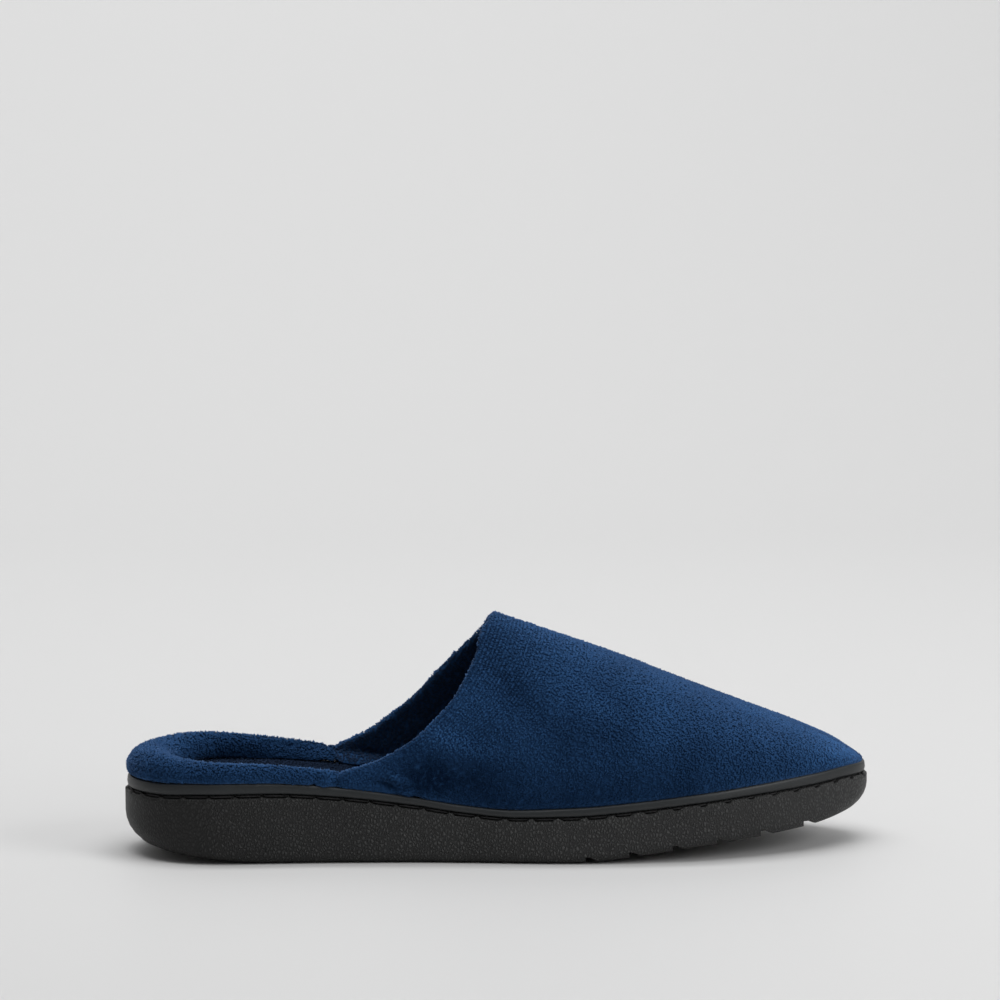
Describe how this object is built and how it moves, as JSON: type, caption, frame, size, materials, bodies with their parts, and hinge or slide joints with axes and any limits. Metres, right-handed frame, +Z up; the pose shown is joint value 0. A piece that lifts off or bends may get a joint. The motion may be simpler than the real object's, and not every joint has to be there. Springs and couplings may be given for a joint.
{
  "type": "scuff slipper",
  "caption": "Right-foot scuff slipper with a closed toe, a high padded vamp, a low padded heel roll and a thick moulded sole with a smooth band.",
  "frame": {"origin": "middle of the bounding box at floor level", "axes": "+X from the heel to the toe, +Z up, -Y towards the lateral side of this right shoe"},
  "size_m": [0.265, 0.0914, 0.0829],
  "materials": {
    "moulded_rubber": "charcoal moulded rubber with a fine leather-like grain",
    "smooth_band": "smooth satin charcoal band with a stitched channel under it",
    "navy_velour": "navy cotton velour with a short dense pile",
    "navy_terry": "navy terry lining over thin foam"
  },
  "bodies": {
    "root": {"outsole": "moulded_rubber", "welt": "smooth_band", "insole": "navy_terry", "vamp": "navy_velour", "heel_collar": "navy_velour"}
  },
  "joints": []
}
